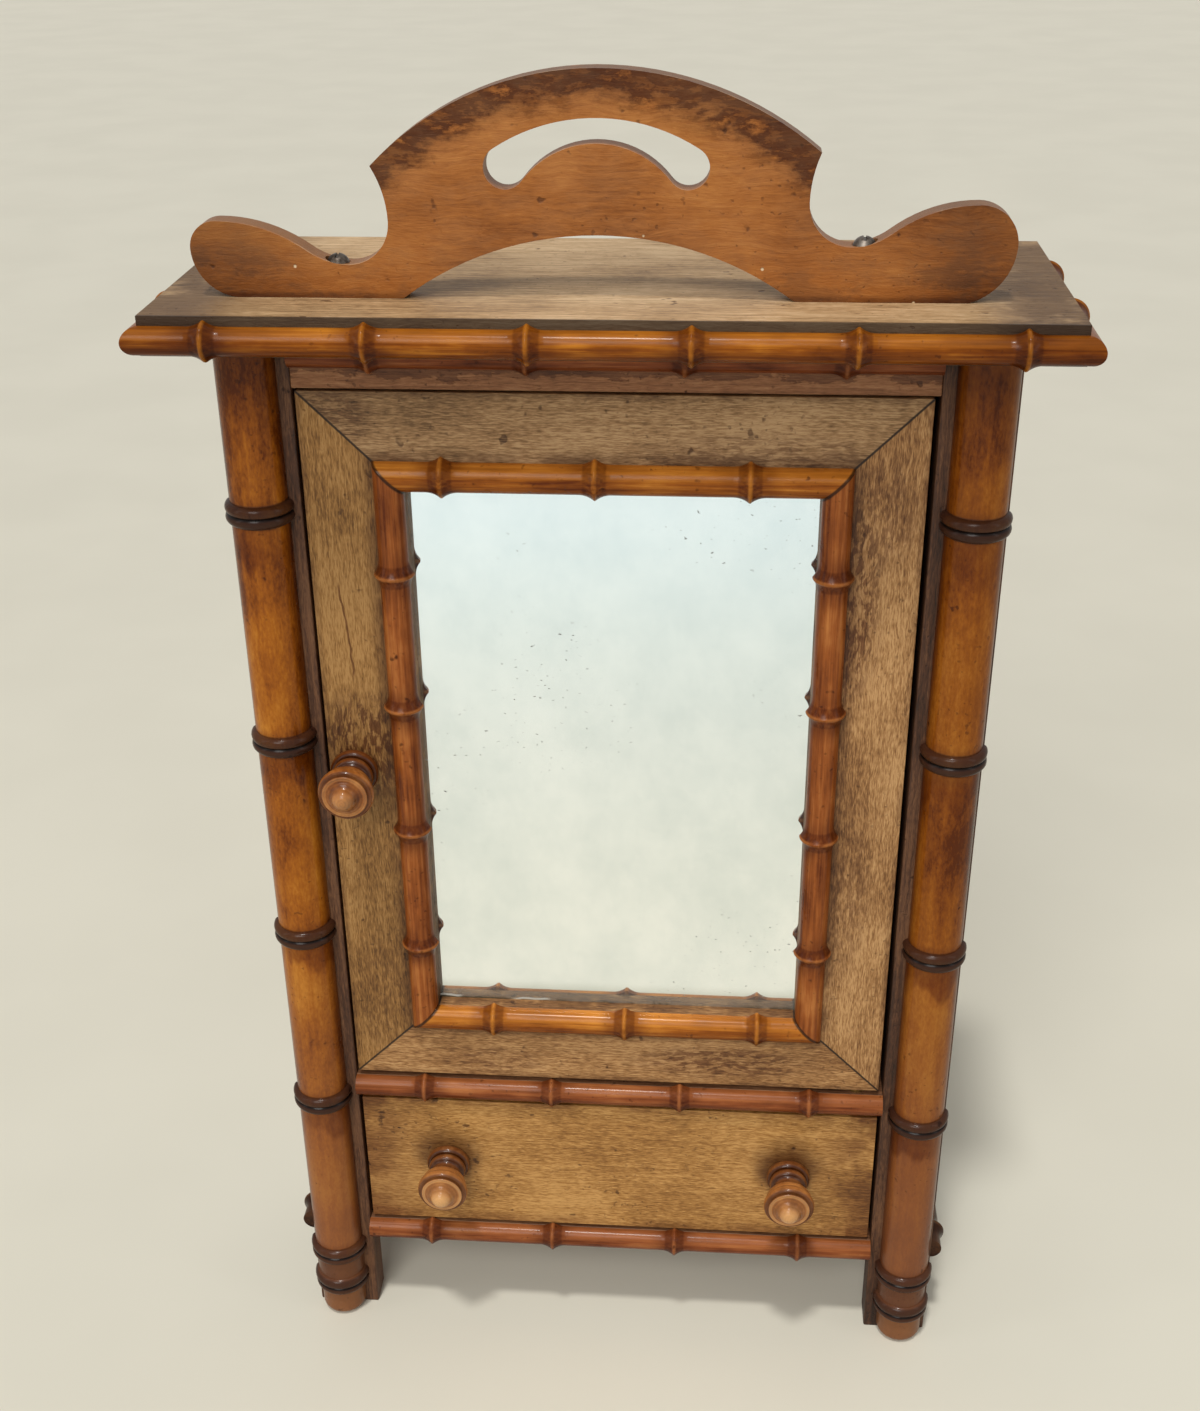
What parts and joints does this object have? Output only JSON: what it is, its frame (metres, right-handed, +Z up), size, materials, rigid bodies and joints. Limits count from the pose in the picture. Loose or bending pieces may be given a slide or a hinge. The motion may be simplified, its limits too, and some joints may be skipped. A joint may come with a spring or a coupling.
{
  "type": "mirrored cabinet",
  "caption": "Small standing cabinet in imitation bamboo with a looking-glass door that swings on pins, a drawer below it and a pierced crest on top.",
  "frame": {"origin": "on the floor, under the middle of the bounding box", "axes": "+X to the right as seen from the front, +Y to the back, +Z up; the front faces -Y"},
  "size_m": [0.3626, 0.1392, 0.6199],
  "materials": {
    "cane": "stained and varnished",
    "post_wood": "stained and varnished",
    "crest_wood": "worn varnish",
    "top_wood": "worn varnish",
    "case_wood": "worn varnish",
    "inner_wood": "bare",
    "door_wood": "worn varnish",
    "drawer_wood": "worn varnish",
    "knob_wood": "worn varnish",
    "looking_glass": "silvered, spotted",
    "steel": "dull",
    "brass": "dull"
  },
  "bodies": {
    "case": {"bed_moulding": "cane", "shelf_moulding": "cane", "bottom_moulding": "cane", "side_moulding_left": "cane", "side_moulding_right": "cane", "cornice_front": "cane", "cornice_left": "cane", "cornice_right": "cane", "post_left": "post_wood", "post_right": "post_wood", "crest_board": "crest_wood", "top_board": "top_wood", "front_leg_left": "case_wood", "front_leg_right": "case_wood", "back_leg_left": "case_wood", "back_leg_right": "case_wood", "side_panel_left": "case_wood", "side_panel_right": "case_wood", "frieze_rail": "case_wood", "shelf_board": "case_wood", "bottom_board": "case_wood", "back_panel": "inner_wood", "glue_blocks": "inner_wood", "door_stop": "inner_wood", "drawer_guide_left": "inner_wood", "drawer_guide_right": "inner_wood", "drawer_stops": "inner_wood", "crest_screws": "steel", "back_nails": "steel", "upper_pivot_pin": "steel", "lower_pivot_pin": "steel", "pivot_washer": "brass"},
    "door": {"door_top_rail": "door_wood", "door_bottom_rail": "door_wood", "door_left_stile": "door_wood", "door_right_stile": "door_wood", "door_top_moulding": "cane", "door_bottom_moulding": "cane", "door_left_moulding": "cane", "door_right_moulding": "cane", "mirror_glass": "looking_glass", "mirror_backing": "inner_wood", "glazing_beads": "inner_wood"},
    "latch": {"door_knob": "knob_wood", "latch_spindle": "steel", "latch_collar": "brass", "latch_bar": "steel", "latch_nut": "steel"},
    "drawer": {"drawer_front": "drawer_wood", "drawer_side_left": "inner_wood", "drawer_side_right": "inner_wood", "drawer_back": "inner_wood", "drawer_bottom": "inner_wood", "drawer_knob_left": "knob_wood", "drawer_knob_right": "knob_wood", "drawer_knob_screws": "steel"}
  },
  "joints": [
    {"name": "door_hinge", "type": "hinge", "parent": "case", "child": "door", "pos_m": [0.1151, -0.0191, 0.1566], "axis": [0, 0, 1], "range_deg": [0, 100]},
    {"name": "latch_turn", "type": "hinge", "parent": "door", "child": "latch", "pos_m": [-0.1145, -0.0259, 0.326], "axis": [0, 1, 0], "range_deg": [0, 90]},
    {"name": "drawer_slide", "type": "slide", "parent": "case", "child": "drawer", "axis": [0, -1, 0], "range_m": [0, 0.065]}
  ]
}
